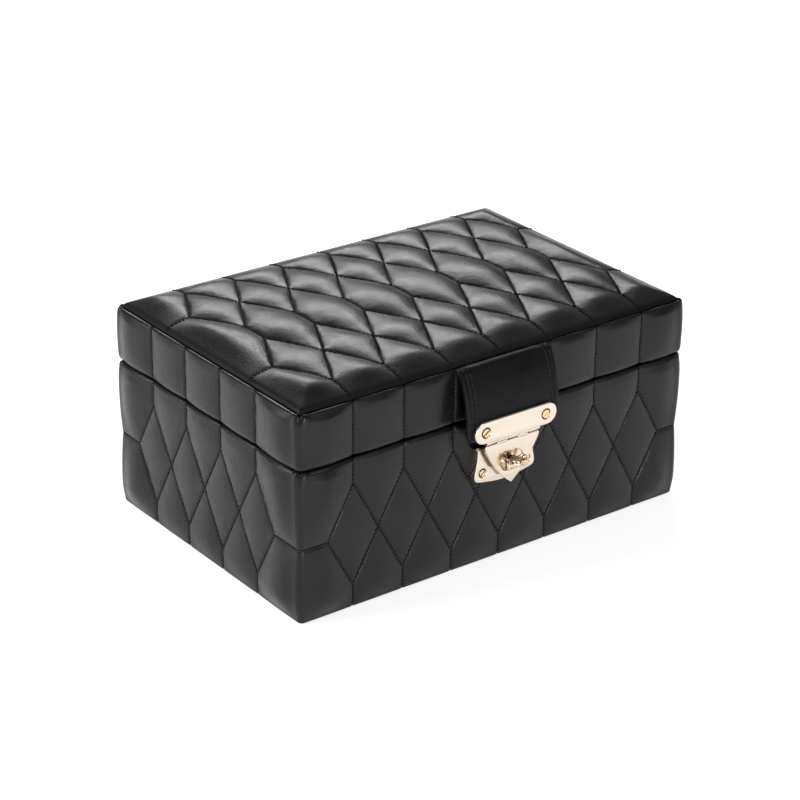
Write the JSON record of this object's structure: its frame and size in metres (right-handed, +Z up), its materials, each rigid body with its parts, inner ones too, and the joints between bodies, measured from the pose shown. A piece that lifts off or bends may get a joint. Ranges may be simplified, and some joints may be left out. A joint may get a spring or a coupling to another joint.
{
  "type": "jewellery case",
  "caption": "Quilted black leather jewellery case with a hinged padded lid, strap and hasp clasp with a turn knob, lift-out ring tray and lid mirror.",
  "frame": {"origin": "centre of the underside, on the plane the case stands on", "axes": "+X to the right along the front, the front faces -Y, +Z up"},
  "size_m": [0.223, 0.1678, 0.1085],
  "materials": {
    "black_leather": "satin",
    "suede": "matte",
    "felt": "matte",
    "foam": "matte",
    "board": "matte",
    "gold_metal": "polished",
    "steel": "brushed",
    "mirror": "polished"
  },
  "bodies": {
    "base": {"felt_base_sheet": "felt", "base_floor_board": "board", "base_front_board": "board", "base_back_board": "board", "base_left_board": "board", "base_right_board": "board", "base_leather_wrap": "black_leather", "base_leather_back": "black_leather", "base_floor_pad": "suede", "base_lining_front": "suede", "base_lining_back": "suede", "base_lining_left": "suede", "base_lining_right": "suede", "tray_ledges": "suede", "well_dividers": "suede", "hinge_left_base_leaf": "steel", "hinge_right_base_leaf": "steel", "hinge_pins": "steel", "hinge_screws_base": "steel", "keeper_plate": "gold_metal", "keeper_screws": "gold_metal", "spine_strip": "black_leather"},
    "tray": {"tray_floor": "suede", "tray_wall_front": "suede", "tray_wall_back": "suede", "tray_wall_left": "suede", "tray_wall_right": "suede", "tray_divider_main": "suede", "tray_cross_dividers": "suede", "ring_roll_1": "suede", "ring_roll_2": "suede", "ring_roll_3": "suede", "ring_roll_4": "suede", "ring_roll_5": "suede", "tray_pulls": "black_leather"},
    "lid": {"lid_top_board": "board", "lid_front_board": "board", "lid_back_board": "board", "lid_left_board": "board", "lid_right_board": "board", "lid_leather_wrap": "black_leather", "lid_leather_back": "black_leather", "lid_top_foam": "foam", "lid_top_leather": "black_leather", "lid_wall_linings": "suede", "mirror_panel": "suede", "mirror_glass": "mirror", "hinge_left_lid_leaf": "steel", "hinge_right_lid_leaf": "steel", "hinge_screws_lid": "steel", "strap_root": "black_leather"},
    "strap": {"strap_tab": "black_leather", "bar_plate": "gold_metal", "bar_back_plate": "gold_metal", "bar_screws": "gold_metal", "hasp_pin": "gold_metal"},
    "hasp": {"hasp_plate": "gold_metal"},
    "knob": {"turn_knob": "gold_metal", "knob_clip": "steel"}
  },
  "joints": [
    {"name": "lid_hinge", "type": "hinge", "parent": "base", "child": "lid", "pos_m": [0, 0.0739, 0.07575], "axis": [-1, 0, 0], "range_deg": [0, 100], "deforming": ["spine_strip"]},
    {"name": "strap_flex", "type": "hinge", "parent": "lid", "child": "strap", "pos_m": [0, -0.0772, 0.1012], "axis": [-1, 0, 0], "range_deg": [0, 40]},
    {"name": "hasp_hinge", "type": "hinge", "parent": "strap", "child": "hasp", "pos_m": [0, -0.0842, 0.067], "axis": [-1, 0, 0], "range_deg": [0, 90]},
    {"name": "knob_turn", "type": "hinge", "parent": "base", "child": "knob", "pos_m": [0, -0.085, 0.0543], "axis": [0, -1, 0], "range_deg": [0, 90]},
    {"name": "tray_lift", "type": "slide", "parent": "base", "child": "tray", "axis": [0, 0, 1], "range_m": [0, 0.012]}
  ]
}
